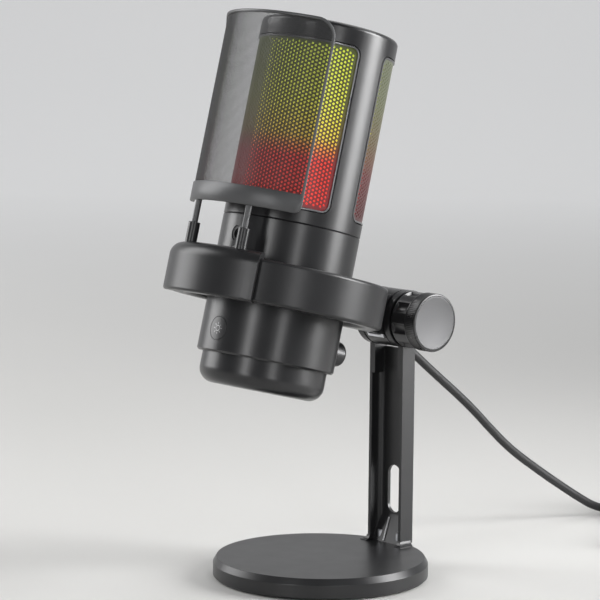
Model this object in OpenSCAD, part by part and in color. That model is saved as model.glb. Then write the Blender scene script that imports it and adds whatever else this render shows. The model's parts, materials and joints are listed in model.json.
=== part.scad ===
// Desktop condenser microphone on a tilting stand.
// The origin is the middle of the base on the table, +Z is up, the user sits at -Y.
// "Mic frame": the microphone's own axis is its Z, height 0 is level with the tilt hinge,
// azimuth 0 is the user's side (-Y) and azimuth 90 is +X.

/* [Base] */
// Diameter of the base disc
base_d = 95.6; // [90:0.1:110]
// Height of the top of the base above the table
base_h = 9.6; // [9:0.1:14]
// Width of the bevel round the top edge
base_bevel = 1.6; // [0.5:0.1:2.5]

/* [Post and hinge] */
// Distance of the post behind the middle of the base
post_y = 42.6; // [38:0.1:43]
// Width of the post
post_w = 21.4; // [20:0.1:24]
// Depth of the post, front to back
post_d = 7.5; // [6.5:0.1:9]
// Wall thickness of the channel
post_wall = 1.6; // [1.2:0.1:2]
// Width of the cable slot
slot_w = 8; // [6:0.5:9]
// Height of the tilt hinge above the table
hinge_h = 113; // [105:0.5:130]
// Radius of the hinge barrel
barrel_r = 13; // [12:0.1:14]
// Tilt of the microphone, top leaning back
tilt = 14.4; // [0:0.1:30]
// Distance from the hinge to the microphone's axis
reach = 70.6; // [68:0.1:76]

/* [Microphone] */
// Radius of the microphone
mic_r = 30; // [29:0.1:31]
// Height of the top face in the mic frame
mic_top = 115; // [110:0.5:120]
// Height of the seam between the lower body and the grille shell
seam_s = 27.9; // [26:0.1:29]
// Height of the lower edge of the body
body_s = -32; // [-33:0.1:-30]
// Height of the bottom of the end cap
cap_s = -45; // [-47:0.5:-43]
// Half of the angle that each grille window spans
window_az = 77.4; // [70:0.1:80]
// Lower edge of the grille windows
window_s0 = 33.5; // [33:0.1:36]
// Upper edge of the grille windows
window_s1 = 106.5; // [100:0.1:107]
// Height of the gain knob and of the front button
control_s = -22; // [-23:0.1:-19]
// Height of the headphone jack
jack_s = 19.2; // [18.5:0.1:20]
// Diameter of the front button
button_d = 10; // [9:0.5:11]
// Diameter of the gain knob
gain_d = 11.2; // [10:0.1:12]

/* [Cradle and pop filter] */
// Outer radius of the cradle ring
ring_r = 46.5; // [46:0.1:47]
// Half of the height of the cradle ring
ring_half = 9.3; // [9:0.1:9.5]
// Outer radius of the filter clip
clip_r = 49.6; // [49:0.1:51]
// Half of the angle that the filter clip spans
clip_az = 35.5; // [33:0.1:38]
// Radius of the curved pop filter
filter_r = 44.7; // [44.6:0.1:44.8]
// Half of the angle that the pop filter spans
filter_az = 51.5; // [48:0.1:54]
// Lower edge of the pop filter
filter_s0 = 30.3; // [29:0.1:31]
// Upper edge of the pop filter
filter_s1 = 113.2; // [110:0.1:114]
// Azimuth of the two filter rods
rod_az = 22; // [20:0.5:24]
// Diameter of the filter rods
rod_d = 2.6; // [2.4:0.1:2.8]

/* [Cord] */
// Diameter of the USB cord
cord_d = 4; // [3.8:0.1:4.2]
// Azimuth of the USB port
usb_az = 205; // [200:1:208]
// Height of the USB port
usb_s = 14.5; // [14:0.1:15]

/* [Hidden] */
$fn = 96;
eps = 0.01;
BLACK = "#262729";
CHARCOAL = "#303134";
GREY = "#5b5c5f";
STEEL = "#b9bcc0";
PCB = "#1d4a30";

// Base
base_r = base_d / 2;
bevel_drop = 2.7;
pad_r = 44.2;
pad_h = 1.6;
pad_recess = 1;
weight_r = 35;
weight_y = -6;
weight_h = 5.9;
screw_x = 6;
screw_d = 3;
screw_head_d = 5.6;
screw_head_h = 2.4;
screw_top = 14.6;

// Post and hinge
flange_x = post_w / 2 - post_wall;
ear_t = 3.3;
ear_x = post_w / 2 - ear_t;
knuckle_r = barrel_r - 0.1;
knuckle_x = 6.6;
washer_gap = 0.05;
bolt_d = 6;
running = 0.05;
web_top = hinge_h - barrel_r - 1.2;
ramp_d = 4.2;
foot_flare = 2.4;
slot_s0 = 23;
slot_s1 = 45;
knob_x0 = 11.5;
knob_skirt_x = 20.4;
knob_x1 = 26.8;
face_r = 12;
cap_x = 14.6;
guide_x = 18.5;
guide_tilt = -38;
guide_in = 4.2;
guide_out = 5.9;

// Microphone
wall = 2.4;
bore_r = mic_r - wall;
grille_r = 29.2;
rim_w = 1.3;
window_r = 4.4;
window_leg = 1.5;
groove = 0.3;
board_y = -13.4;
board_t = 1.6;
ring_in = 39.4;
clip_in = 41.5;
clip_top = 12;
sleeve_d = 5;
sleeve_s0 = 9.4;
sleeve_s1 = 20.6;
rod_bottom = -8;
rod_r = filter_r - 1.1;
filter_t = 1.6;
filter_band = 8.2;
filter_leg = 6;

// Cord route: from the hinge's cord guide down to the table, and the coil
CORD_DROP = [
    [-18.4, 44.5, 111.7], [-18, 52, 107], [-17.5, 62, 100], [-17, 72, 92], [-16.5, 82, 84],
    [-16, 93, 75.5], [-15.5, 102, 68.5], [-15, 111, 61], [-14.5, 121, 52], [-14, 131.5, 43],
    [-13.5, 141, 36], [-13, 151, 29.5], [-12.5, 161, 23.2], [-12, 172, 16.6], [-11.5, 183, 10.2],
    [-11.2, 192, 5.6], [-11.2, 200, 3], [-11.6, 208, 2.1], [-12, 217, 2.1]
];
// From the strain relief to the hinge's cord guide, in the mic frame with the hinge at y = 0
CORD_NECK = [
    [-22.3, -22.8, 14.5], [-23.3, -20.6, 14.3], [-23.9, -18.2, 13.2], [-23.8, -15.6, 11.2],
    [-23.1, -13, 8.7], [-22.1, -10.4, 6.2], [-21, -7.8, 4], [-19.9, -5.2, 2.3],
    [-19, -2.6, 0.9], [-18.5, 0, 0]
];
// From the coil to the plug on the far end
CORD_TAIL = [
    [42, 232, 2], [42.5, 225, 2], [44, 218, 2.2], [46.8, 211, 2.8], [49.6, 205, 3.6], [51, 199, 4],
    [51, 196, 4]
];
coil_at = [15, 226];
coil_in = 17;
coil_out = 29;
coil_h = 16;
coil_step = 8;
plug_at = [51, 196, 4];

// ---- Helpers ----

// Puts its children in the mic frame
module mic_frame() {
    translate([0, post_y, hinge_h])
        rotate([-tilt, 0, 0])
            translate([0, -reach, 0]) children();
}

// Puts its children at an azimuth, radius and height of the mic frame, -Y pointing outward
module at_az(az, r, s) {
    translate([r * sin(az), -r * cos(az), s]) rotate([0, 0, az]) children();
}

// A round bar along the outward direction of at_az, from radius r0 to r1
module radial(az, s, r0, r1, d) {
    at_az(az, 0, s) translate([0, -r0, 0]) rotate([90, 0, 0]) cylinder(h = r1 - r0, d = d);
}

// A round bar along X
module bar_x(x0, x1, r) {
    translate([x0, 0, 0]) rotate([0, 90, 0]) cylinder(h = x1 - x0, r = r);
}

// Puts its children at the hinge
module hinge() {
    translate([0, post_y, hinge_h]) children();
}

// A tube about Z
module tube(r0, r1, s0, s1) {
    translate([0, 0, s0]) difference() {
        cylinder(h = s1 - s0, r = r1);
        translate([0, 0, -eps]) cylinder(h = s1 - s0 + 2 * eps, r = r0);
    }
}

// A wedge about Z that covers the azimuths within half of az
module wedge(az, half, s0, s1) {
    far = 90;
    steps = 6;
    fan = [for (i = [-steps : steps]) az + half * i / steps];
    translate([0, 0, s0]) linear_extrude(s1 - s0)
        polygon(concat([[0, 0]], [for (a = fan) [far * sin(a), -far * cos(a)]]));
}

// The space that a panel with round corners fills, r0 at its lower and r1 at its upper corners
module panel(az, half, s0, s1, r0, r1, radius) {
    turn0 = r0 / radius * 180 / PI;
    turn1 = r1 / radius * 180 / PI;
    wedge(az, half, s0 + r0, s1 - r1);
    wedge(az, half - turn1, s1 - r1 - eps, s1);
    wedge(az, half - turn0, s0, s0 + r0 + eps);
    for (side = [-1, 1]) {
        radial(az + side * (half - turn0), s0 + r0, 10, 60, 2 * r0);
        radial(az + side * (half - turn1), s1 - r1, 10, 60, 2 * r1);
    }
}

// A cutter that takes a corner off a curved panel, its legs as long as leg. The corner points
// to side (1 is towards greater azimuths) and up (1 is upwards), and the cutter runs past it.
module corner(az, s, leg, side, up) {
    past = 3;
    at_az(az, 0, s) rotate([90, 0, 0]) linear_extrude(70)
        polygon([
            [-side * (leg + past), up * past], [side * past, -up * (leg + past)],
            [side * past, up * past]
        ]);
}

// Direction of a route at point i
function along(p, i) =
    let (d = p[min(i + 1, len(p) - 1)] - p[max(i - 1, 0)]) d / norm(d);

// A closed round tube of diameter d that follows the points of a route
module sweep(p, d, sides = 10) {
    n = len(p);
    rings = [for (i = [0 : n - 1])
        let (t = along(p, i), u0 = cross(t, [1, 0.2, 0]), u = u0 / norm(u0), v = cross(t, u))
            for (k = [0 : sides - 1])
                let (a = 360 * k / sides) p[i] + d / 2 * (cos(a) * u + sin(a) * v)];
    walls = [for (i = [0 : n - 2]) for (k = [0 : sides - 1])
        let (j = (k + 1) % sides, a = i * sides, b = a + sides) [a + k, a + j, b + j, b + k]];
    near_end = [for (k = [sides - 1 : -1 : 0]) k];
    far_end = [for (k = [0 : sides - 1]) (n - 1) * sides + k];
    polyhedron(concat(rings), concat(walls, [near_end, far_end]), convexity = 6);
}

// ---- Base and post ----

module base_shell() {
    color(CHARCOAL) difference() {
        rotate_extrude() polygon([
            [0, 0.6], [base_r - 0.8, 0.6], [base_r, 1.4], [base_r, base_h - bevel_drop],
            [base_r - base_bevel, base_h], [0, base_h]
        ]);
        cylinder(h = 0.6 + pad_recess, r = pad_r + 0.2);
        translate([0, weight_y, 0]) cylinder(h = pad_h + weight_h + 0.1, r = weight_r + 0.2);
        for (x = [-screw_x, screw_x]) translate([x, post_y, 0]) {
            cylinder(h = pad_h + screw_head_h + 0.2, d = screw_head_d + 0.6);
            cylinder(h = base_h + 1, d = screw_d + 0.2);
        }
    }
}

module base_weight() {
    color(STEEL) translate([0, weight_y, pad_h]) cylinder(h = weight_h, r = weight_r);
}

module base_pad() {
    color("#1a1a1b") cylinder(h = pad_h, r = pad_r);
}

module post_screws() {
    head_z = pad_h + 0.2;
    color(STEEL) for (x = [-screw_x, screw_x]) translate([x, post_y, head_z]) {
        cylinder(h = screw_head_h, d = screw_head_d);
        cylinder(h = screw_top - head_z, d = screw_d);
    }
}

// Section of the channel: straight flanges at the sides and a web with round inner corners
module channel_section() {
    corner = 3;
    inner_d = post_d - post_wall;
    difference() {
        translate([-post_w / 2, -post_d / 2]) square([post_w, post_d]);
        translate([-flange_x, -post_d / 2 - 1]) square([2 * flange_x, inner_d - corner + 1]);
        translate([-flange_x + corner, -post_d / 2 - 1])
            square([2 * (flange_x - corner), inner_d + 1]);
        for (side = [-1, 1])
            translate([side * (flange_x - corner), -post_d / 2 + inner_d - corner])
                circle(r = corner);
    }
}

// A block from low to high with a concave fillet at its foot on the low side, as a flat shape
module toe_profile(low, high) {
    land = 0.3;
    difference() {
        translate([low - foot_flare, 0]) square([high - low + foot_flare, foot_flare]);
        translate([low - foot_flare - land, foot_flare + land]) circle(r = foot_flare);
    }
}

// The flared toe at the bottom of one flange
module toe(side) {
    intersection() {
        translate([0, post_y, base_h]) mirror([side > 0 ? 1 : 0, 0, 0]) intersection() {
            translate([0, 20, 0]) rotate([90, 0, 0]) linear_extrude(40)
                toe_profile(-post_w / 2, -flange_x);
            translate([-40, 0, 0]) rotate([90, 0, 90]) linear_extrude(40)
                toe_profile(-post_d / 2, post_d / 2);
        }
        cylinder(h = 60, r = base_r - base_bevel);
    }
}

module post() {
    slot_at = post_y + post_d / 2 - post_wall / 2;
    color(CHARCOAL) difference() {
        union() {
            translate([0, post_y, base_h]) linear_extrude(web_top - base_h) channel_section();
            for (side = [-1, 1]) toe(side);
            // Steep ramp between the flanges, from the base up to the web
            translate([-flange_x - 0.2, post_y, 0]) rotate([90, 0, 90])
                linear_extrude(2 * flange_x + 0.4) polygon([
                    [post_d / 2 - post_wall - ramp_d, base_h],
                    [post_d / 2 - post_wall, slot_s0 - 1],
                    [post_d / 2 - eps, slot_s0 - 1], [post_d / 2 - eps, base_h]
                ]);
            for (x = [-ear_x - ear_t, ear_x]) hinge() {
                bar_x(x, x + ear_t, barrel_r);
                translate([x, -post_d / 2, -2 * barrel_r]) cube([ear_t, post_d, 2 * barrel_r]);
            }
        }
        // Cable slot through the web
        for (s = [slot_s0 + slot_w / 2, slot_s1 - slot_w / 2])
            translate([0, slot_at + 2, s]) rotate([90, 0, 0]) cylinder(h = 4, d = slot_w);
        translate([-slot_w / 2, slot_at - 2, slot_s0 + slot_w / 2])
            cube([slot_w, 4, slot_s1 - slot_s0 - slot_w]);
        hinge() bar_x(-20, 20, bolt_d / 2 + running);
        for (x = [-screw_x, screw_x])
            translate([x, post_y, base_h - 1]) cylinder(h = screw_top - base_h + 1, d = screw_d);
        // The rear corners follow the bevelled edge of the base
        difference() {
            cylinder(h = base_h + 1, r = 2 * base_r);
            translate([0, 0, -1]) cylinder(h = base_h + 3, r = base_r - base_bevel);
        }
    }
}

module hinge_bolt() {
    color(STEEL) hinge() {
        bar_x(-ear_x - ear_t - 2.6, -ear_x - ear_t, 5);
        bar_x(-ear_x - ear_t - eps, 22, bolt_d / 2);
    }
}

module hinge_cap() {
    near_x = -ear_x - ear_t;
    color(BLACK) hinge() difference() {
        union() {
            bar_x(-cap_x, near_x, 10);
            guide_ring(guide_out, 1.1);
        }
        bar_x(near_x - 2.7, near_x + 1, 5.1);
        guide_ring(guide_in, 3);
    }
}

// Disc of the cord's eyelet, which leads the cord past the hinge on the hinge's own axis
module guide_ring(r, half) {
    translate([-guide_x, 0, 0]) rotate([guide_tilt, 0, 0]) rotate([90, 0, 0])
        cylinder(h = 2 * half, r = r, center = true);
}

module friction_washers() {
    t = ear_x - knuckle_x - 2 * washer_gap;
    color(STEEL) for (side = [-1, 1]) hinge()
        translate([side * (knuckle_x + washer_gap + t / 2), 0, 0]) difference() {
            bar_x(-t / 2, t / 2, 10);
            bar_x(-t, t, bolt_d / 2 + running);
        }
}

module knob_washer() {
    color(STEEL) hinge() difference() {
        bar_x(post_w / 2, post_w / 2 + 0.7, 8);
        bar_x(post_w / 2 - 1, post_w / 2 + 2, bolt_d / 2 + running);
    }
}

// ---- Tilt knob ----

module tilt_knob() {
    flutes = 8;
    grip_r = barrel_r - 0.4;
    flute_x = knob_x0 + 1.2;
    color(BLACK) hinge() difference() {
        rotate([0, 90, 0]) rotate_extrude() polygon([
            [0, knob_x0], [grip_r - 0.6, knob_x0], [grip_r, knob_x0 + 0.6], [grip_r, knob_skirt_x],
            [barrel_r, knob_skirt_x + 0.4], [barrel_r, knob_x1], [0, knob_x1]
        ]);
        for (i = [0 : flutes - 1]) rotate([i * 360 / flutes + 12, 0, 0])
            translate([0, 0, barrel_r + 1.6]) bar_x(flute_x, knob_skirt_x - 0.3, 3.4);
        bar_x(knob_x1 - 0.6, knob_x1 + 1, face_r);
        bar_x(knob_x0 - 1, knob_x0 + 11, 4.5);
    }
}

module knob_insert() {
    color("#b08d57") hinge() difference() {
        bar_x(knob_x0, knob_x0 + 11, 4.5);
        bar_x(knob_x0 - 1, knob_x0 + 12, bolt_d / 2 + running);
    }
}

module knob_face() {
    color("#8f9092") hinge() bar_x(knob_x1 - 0.6, knob_x1, face_r);
}

// ---- Cradle ----

// Section of the ring, a band with round edges
module ring_section(r0, r1, half, corner) {
    translate([r0, -half + corner]) square([r1 - r0, 2 * (half - corner)]);
    translate([r0 + corner, -half]) square([r1 - r0 - 2 * corner, 2 * half]);
    for (x = [r0 + corner, r1 - corner]) for (y = [-half + corner, half - corner])
        translate([x, y]) circle(r = corner, $fn = 48);
}

module cradle_ring() {
    neck_y = reach - knuckle_r - 1;
    color(CHARCOAL) mic_frame() difference() {
        union() {
            rotate_extrude() ring_section(ring_in, ring_r, ring_half, 1.6);
            // Arm from the back of the ring to the knuckle
            translate([0, 0, -ring_half + 0.3]) linear_extrude(2 * ring_half - 0.6) polygon([
                [-14, ring_r - 3.6], [14, ring_r - 3.6], [knuckle_x, neck_y],
                [knuckle_x, reach], [-knuckle_x, reach], [-knuckle_x, neck_y]
            ]);
            translate([0, reach, 0]) bar_x(-knuckle_x, knuckle_x, knuckle_r);
        }
        cylinder(h = 60, r = ring_in, center = true);
        // Seat of the filter clip
        intersection() {
            tube(clip_in - 0.1, 60, -20, 20);
            wedge(0, clip_az + 0.2, -21, 21);
        }
        translate([0, reach, 0]) bar_x(-20, 20, 4);
        for (az = [-10, 10]) radial(az, 0, ring_in - 2, clip_in + 1, 2.2);
        for (az = [45, 135, 225, 315]) radial(az, 0, ring_in - 2, ring_in + 2.6, 7);
    }
}

module hinge_bushing() {
    color("#b08d57") mic_frame() translate([0, reach, 0]) difference() {
        bar_x(-knuckle_x, knuckle_x, 4);
        bar_x(-20, 20, bolt_d / 2 + running);
    }
}

// Bright index clip let into the lower front of the knuckle
module knuckle_index() {
    color("#c9c9c6") mic_frame() translate([1, reach, 0]) rotate([47, 0, 0])
        translate([0, -knuckle_r - 0.2, 0]) {
            cube([10.2, 1, 1.4], center = true);
            for (side = [-1, 1]) translate([side * 4.6, 0, 1]) cube([1, 1, 1.6], center = true);
        }
}

module isolation_collar() {
    color(BLACK) mic_frame() difference() {
        tube(mic_r, 33, -8, 8);
        for (az = [45, 135, 225, 315]) radial(az, 0, 31.5, 36, 7);
    }
}

module shock_pads() {
    color("#1a1a1b") mic_frame() for (az = [45, 135, 225, 315]) {
        radial(az, 0, 31.5, ring_in + 2.5, 7);
        at_az(az, 36.4, 0) cube([11, 4.8, 12], center = true);
    }
}

// ---- Clip of the pop filter ----

module clip_section() {
    top_r = 6;
    low_r = 1.2;
    low = -ring_half - 0.3;
    square_top = clip_top - top_r;
    translate([clip_in, low + low_r]) square([clip_r - clip_in, square_top - low - low_r]);
    translate([clip_in, low]) square([clip_r - clip_in - low_r, low_r + eps]);
    translate([clip_r - low_r, low + low_r]) circle(r = low_r, $fn = 48);
    translate([clip_in - 1.6, ring_half + 0.1])
        square([clip_r - clip_in + 1.6 - top_r, clip_top - ring_half - 0.1]);
    translate([clip_in, square_top - eps]) square([clip_r - clip_in - top_r, top_r]);
    intersection() {
        translate([clip_r - top_r, square_top]) circle(r = top_r);
        translate([clip_in, square_top - eps]) square([20, 20]);
    }
}

module filter_clip() {
    color(CHARCOAL) mic_frame() difference() {
        intersection() {
            rotate_extrude() clip_section();
            wedge(0, clip_az, -20, 20);
        }
        for (az = [-rod_az, rod_az]) at_az(az, rod_r, 0) {
            cylinder(h = 40, d = rod_d + 2 * running, center = true);
            translate([0, 0, sleeve_s0]) cylinder(h = 20, d = sleeve_d);
        }
        for (az = [-10, 10]) radial(az, 0, clip_in - 1, clip_in + 4.2, 2);
    }
}

module clip_screws() {
    color(STEEL) mic_frame() for (az = [-10, 10]) {
        radial(az, 0, ring_in - 1.4, ring_in - 0.05, 3.8);
        radial(az, 0, ring_in - 0.1, clip_in + 4, 2);
    }
}

module rod_sleeves() {
    color(BLACK) mic_frame() for (az = [-rod_az, rod_az]) at_az(az, rod_r, 0) difference() {
        translate([0, 0, sleeve_s0]) cylinder(h = sleeve_s1 - sleeve_s0, d = sleeve_d);
        cylinder(h = 60, d = rod_d + 2 * running, center = true);
    }
}

module filter_rods() {
    color(STEEL) mic_frame() for (az = [-rod_az, rod_az]) at_az(az, rod_r, rod_bottom)
        cylinder(h = filter_s0 + 6 - rod_bottom, d = rod_d);
}

module filter_frame() {
    r0 = filter_r - filter_t / 2;
    r1 = filter_r + filter_t / 2;
    edge_az = 1.6;
    color(GREY) mic_frame() difference() {
        union() {
            intersection() {
                tube(r0, r1, filter_s0, filter_s1);
                wedge(0, filter_az, filter_s0 - 1, filter_s1 + 1);
            }
            // Bosses behind the band that hold the rods
            for (az = [-rod_az, rod_az]) at_az(az, 0, filter_s0)
                translate([-2.3, -r0 - 0.2, 0]) cube([4.6, 2.6, filter_band - 0.6]);
        }
        for (side = [-1, 1]) {
            corner(side * filter_az, filter_s1, filter_leg, side, 1);
            corner(side * filter_az, filter_s0, filter_leg / 2, side, -1);
        }
        wedge(0, filter_az - edge_az, filter_s0 + filter_band, filter_s1 - 9);
        wedge(0, filter_az - 12, filter_s1 - 9.5, filter_s1 - 1.2);
        for (az = [-rod_az, rod_az])
            at_az(az, rod_r, 0) cylinder(h = filter_s0 + 6, d = rod_d);
    }
}

module filter_mesh() {
    inset_az = 1.6;
    color("#6d6e70") mic_frame() intersection() {
        tube(filter_r - 0.3, filter_r + 0.3, filter_s0, filter_s1);
        union() {
            wedge(0, filter_az - inset_az, filter_s0 + filter_band, filter_s1 - 9);
            wedge(0, filter_az - 12, filter_s1 - 9.5, filter_s1 - 1.2);
        }
    }
}

// ---- Microphone body ----

module lower_body() {
    lip = 0.8;
    color(BLACK) mic_frame() difference() {
        rotate_extrude() polygon([
            [bore_r, body_s], [mic_r - lip, body_s], [mic_r, body_s + lip],
            [mic_r, seam_s - 0.4], [mic_r - 0.4, seam_s], [bore_r, seam_s]
        ]);
        radial(0, control_s, 20, 40, button_d + 0.6);
        radial(0, jack_s, 20, 40, 6.9);
        radial(180, control_s, 20, 40, 7);
        at_az(usb_az, 0, usb_s) translate([0, -bore_r, 0]) {
            cube([9.6, 20, 3.8], center = true);
            translate([0, -wall, 0]) cube([13.4, 2.4, 7.6], center = true);
        }
        for (az = [160, 280]) radial(az, body_s + 2, 20, 40, 2.2);
    }
}

module bottom_cap() {
    r = 27.3;
    corner = 6.5;
    color(BLACK) mic_frame() difference() {
        rotate_extrude() {
            translate([0, cap_s + corner]) square([r, body_s - cap_s - corner]);
            translate([0, cap_s]) square([r - corner, corner + eps]);
            translate([r - corner, cap_s + corner]) intersection() {
                circle(r = corner);
                translate([-eps, -corner]) square([corner, corner + eps]);
            }
            translate([0, body_s - eps]) square([bore_r - 0.1, 4]);
        }
        translate([0, 0, cap_s + 2.4]) cylinder(h = 20, r = 20);
        translate([0, 0, cap_s + corner + 1]) cylinder(h = 30, r = 25);
        for (az = [160, 280]) radial(az, body_s + 2, 20, 40, 1.6);
    }
}

module cap_screws() {
    color(STEEL) mic_frame() for (az = [160, 280]) {
        radial(az, body_s + 2, 25.2, mic_r - 0.4, 1.6);
        radial(az, body_s + 2, mic_r - 1.2, mic_r - 0.2, 2.2);
    }
}

module upper_shell() {
    color(BLACK) mic_frame() difference() {
        rotate_extrude() polygon([
            [bore_r + 0.2, seam_s], [mic_r, seam_s], [mic_r, mic_top - 2.2],
            [mic_r - 0.6, mic_top - 0.8], [mic_r - 2, mic_top], [24, mic_top], [24, mic_top - 3],
            [bore_r + 0.2, mic_top - 3]
        ]);
        for (az = [0, 180]) difference() {
            wedge(az, window_az, window_s0, window_s1);
            for (side = [-1, 1]) {
                corner(az + side * window_az, window_s1, window_leg, side, 1);
                corner(az + side * window_az, window_s0, window_leg, side, -1);
            }
        }
    }
}

module top_cap() {
    color(CHARCOAL) mic_frame() translate([0, 0, mic_top - 3]) cylinder(h = 2.6, r = 23.9);
}

module rim(az) {
    turn = rim_w / mic_r * 180 / PI;
    groove_turn = groove / mic_r * 180 / PI + 0.03;
    color(GREY) mic_frame() intersection() {
        tube(28.3, mic_r + 0.1, window_s0 - 1, window_s1 + 1);
        difference() {
            panel(az, window_az - groove_turn, window_s0 + groove, window_s1 - groove,
                window_r, window_r, mic_r);
            panel(az, window_az - turn, window_s0 + rim_w, window_s1 - rim_w, window_r - rim_w,
                window_r - rim_w, mic_r);
        }
    }
}

module front_rim() {
    rim(0);
}

module back_rim() {
    rim(180);
}

module grille(az) {
    turn = rim_w / mic_r * 180 / PI;
    color("#a8b83a") mic_frame() intersection() {
        tube(grille_r - 0.4, grille_r + 0.4, window_s0, window_s1);
        panel(az, window_az - turn, window_s0 + rim_w, window_s1 - rim_w, window_r - rim_w,
            window_r - rim_w, mic_r);
    }
}

module front_grille() {
    grille(0);
}

module back_grille() {
    grille(180);
}

// ---- Inside the microphone ----

module diffuser() {
    color("#e8e4d0") mic_frame() tube(25.6, 26.6, chassis_top(), mic_top - 4);
}

function chassis_top() = seam_s + 3;

module chassis() {
    color(CHARCOAL) mic_frame() difference() {
        union() {
            translate([0, 0, seam_s - 4]) cylinder(h = 4 + eps, r = bore_r);
            translate([0, 0, seam_s]) cylinder(h = 3, r = bore_r + 0.2);
        }
        translate([0, 0, seam_s - 6]) cylinder(h = 6, r = 22);
        translate([12, 6, 0]) cylinder(h = 60, r = 3);
    }
}

module led_strips() {
    color(PCB) mic_frame() for (az = [90, 270])
        at_az(az, 24, chassis_top()) translate([-4, -0.6, 0]) cube([8, 1.2, 74]);
}

module capsule_mount() {
    color(BLACK) mic_frame() {
        translate([0, 0, chassis_top()]) cylinder(h = 2, r = 10);
        translate([0, 0, chassis_top()]) cylinder(h = 34, d = 7);
        translate([0, 0, 74]) rotate([90, 0, 0]) tube(8.5, 10, -4, 4);
    }
}

module capsule() {
    color("#c8a24a") mic_frame() translate([0, 0, 74]) rotate([90, 0, 0])
        cylinder(h = 10, r = 8.5, center = true);
}

module capsule_foam() {
    color("#2a2a2c") mic_frame() difference() {
        translate([0, 0, 50]) cylinder(h = 42, r = 16);
        translate([0, 0, 49]) cylinder(h = 38, r = 12.5);
    }
}

module main_board() {
    color(PCB) mic_frame() translate([-20, board_y, -27]) cube([40, board_t, 48]);
}

module headphone_jack() {
    color("#1b1b1c") mic_frame() difference() {
        union() {
            at_az(0, 0, jack_s) translate([-4, board_y, -4]) mirror([0, 1, 0])
                cube([8, 27.2 + board_y, 8]);
            radial(0, jack_s, 27, 28.6, 6);
        }
        radial(0, jack_s, -board_y + 0.8, 40, 3.6);
    }
}

module jack_ring() {
    color(STEEL) mic_frame() difference() {
        radial(0, jack_s, 28.6, 29.6, 6.9);
        radial(0, jack_s, 20, 40, 4.2);
    }
}

module button_switch() {
    color("#1b1b1c") mic_frame() difference() {
        translate([-3, board_y, control_s - 3]) mirror([0, 1, 0]) cube([6, 7, 6]);
        radial(0, control_s, -board_y + 2, 40, 3 + 2 * running);
    }
}

// The button's face follows the round body; its stem slides in the switch
module front_button() {
    color(CHARCOAL) mic_frame() {
        intersection() {
            radial(0, control_s, 27.4, 40, button_d);
            cylinder(h = 80, r = mic_r + 0.1, center = true);
        }
        radial(0, control_s, -board_y + 3.5, 27.5, 3);
    }
}

module gain_pot() {
    color("#3b3d40") mic_frame() difference() {
        union() {
            at_az(180, 0, control_s) translate([-6, -26.8, -6]) cube([12, 9, 12]);
            radial(180, control_s, 26.7, 30.2, 6.9);
        }
        radial(180, control_s, 20, 40, 4 + 2 * running);
    }
}

module gain_shaft() {
    color(STEEL) mic_frame() radial(180, control_s, 20.5, 36.4, 4);
}

module gain_knob() {
    dome = 1.6;
    tip = 42.2;
    color(BLACK) mic_frame() at_az(180, 0, control_s) rotate([90, 0, 0]) difference() {
        rotate_extrude() {
            translate([0, 30.7]) square([gain_d / 2, tip - dome - 30.7]);
            translate([0, tip - dome - eps]) square([gain_d / 2 - dome, dome + eps]);
            translate([gain_d / 2 - dome, tip - dome]) circle(r = dome, $fn = 48);
        }
        translate([0, 0, 20]) cylinder(h = 16.4, d = 4);
    }
}

module usb_board() {
    color(PCB) mic_frame() at_az(usb_az, 0, usb_s) translate([-8, -26.4, -3.4])
        cube([16, 12, 1.6]);
}

module usb_socket() {
    color(STEEL) mic_frame() at_az(usb_az, 0, usb_s) difference() {
        translate([-4.6, -28.6, -1.8]) cube([9.2, 7.4, 3.6]);
        translate([-4.2, -29, -1.4]) cube([8.4, 6, 2.8]);
    }
}

// ---- Cord ----

module usb_plug() {
    color(BLACK) mic_frame() at_az(usb_az, 0, usb_s) {
        translate([-4.1, -29.2, -1.3]) cube([8.2, 6, 2.6]);
        translate([-6, -43.4, -3.2]) cube([12, 14.4, 6.4]);
    }
}

module usb_relief() {
    color(BLACK) mic_frame() at_az(usb_az, 0, usb_s) translate([0, -43.4, 0])
        rotate([90, 0, 0]) cylinder(h = 9.4, d1 = 6.2, d2 = cord_d);
}

module cord_neck() {
    color("#1f2022") translate([0, post_y, hinge_h]) rotate([-tilt, 0, 0])
        sweep(CORD_NECK, cord_d);
}

module cord_drop() {
    color("#1f2022") sweep(CORD_DROP, cord_d);
}

// Section of the coil, its outer turns two high and the others four, grown by g
module coil_section(g, bottom) {
    polygon([
        [coil_in - g, bottom], [coil_out + g, bottom], [coil_out + g, coil_step + g],
        [coil_out - cord_d + g, coil_step + g], [coil_out - cord_d + g, coil_h + g],
        [coil_in - g, coil_h + g]
    ]);
}

module cord_coil() {
    color("#1f2022") translate([coil_at[0], coil_at[1], 0]) rotate_extrude() coil_section(0, 0);
}

// Strap round the turns of the coil
module cord_tie() {
    strap = 0.8;
    wide = 6;
    color("#2c2d2f") translate([coil_at[0] - wide / 2, coil_at[1], 0]) rotate([90, 0, 90])
        linear_extrude(wide) difference() {
            coil_section(0.3 + strap, 0);
            coil_section(0.3, strap);
        }
}

module cord_tail() {
    color("#1f2022") sweep(CORD_TAIL, cord_d);
}

module plug_relief() {
    color(BLACK) translate(plug_at) rotate([90, 0, 0])
        cylinder(h = 11, d1 = cord_d + 0.4, d2 = 6.4);
}

module plug_body() {
    color(BLACK) translate(plug_at + [-7.5, -11 - 24, -4]) cube([15, 24, 8]);
}

module plug_shell() {
    color(STEEL) translate(plug_at + [-6, -11 - 24 - 12, -2.25]) difference() {
        cube([12, 12, 4.5]);
        translate([0.4, -1, 0.4]) cube([11.2, 11, 3.7]);
    }
}

// ---- Output ----

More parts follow.
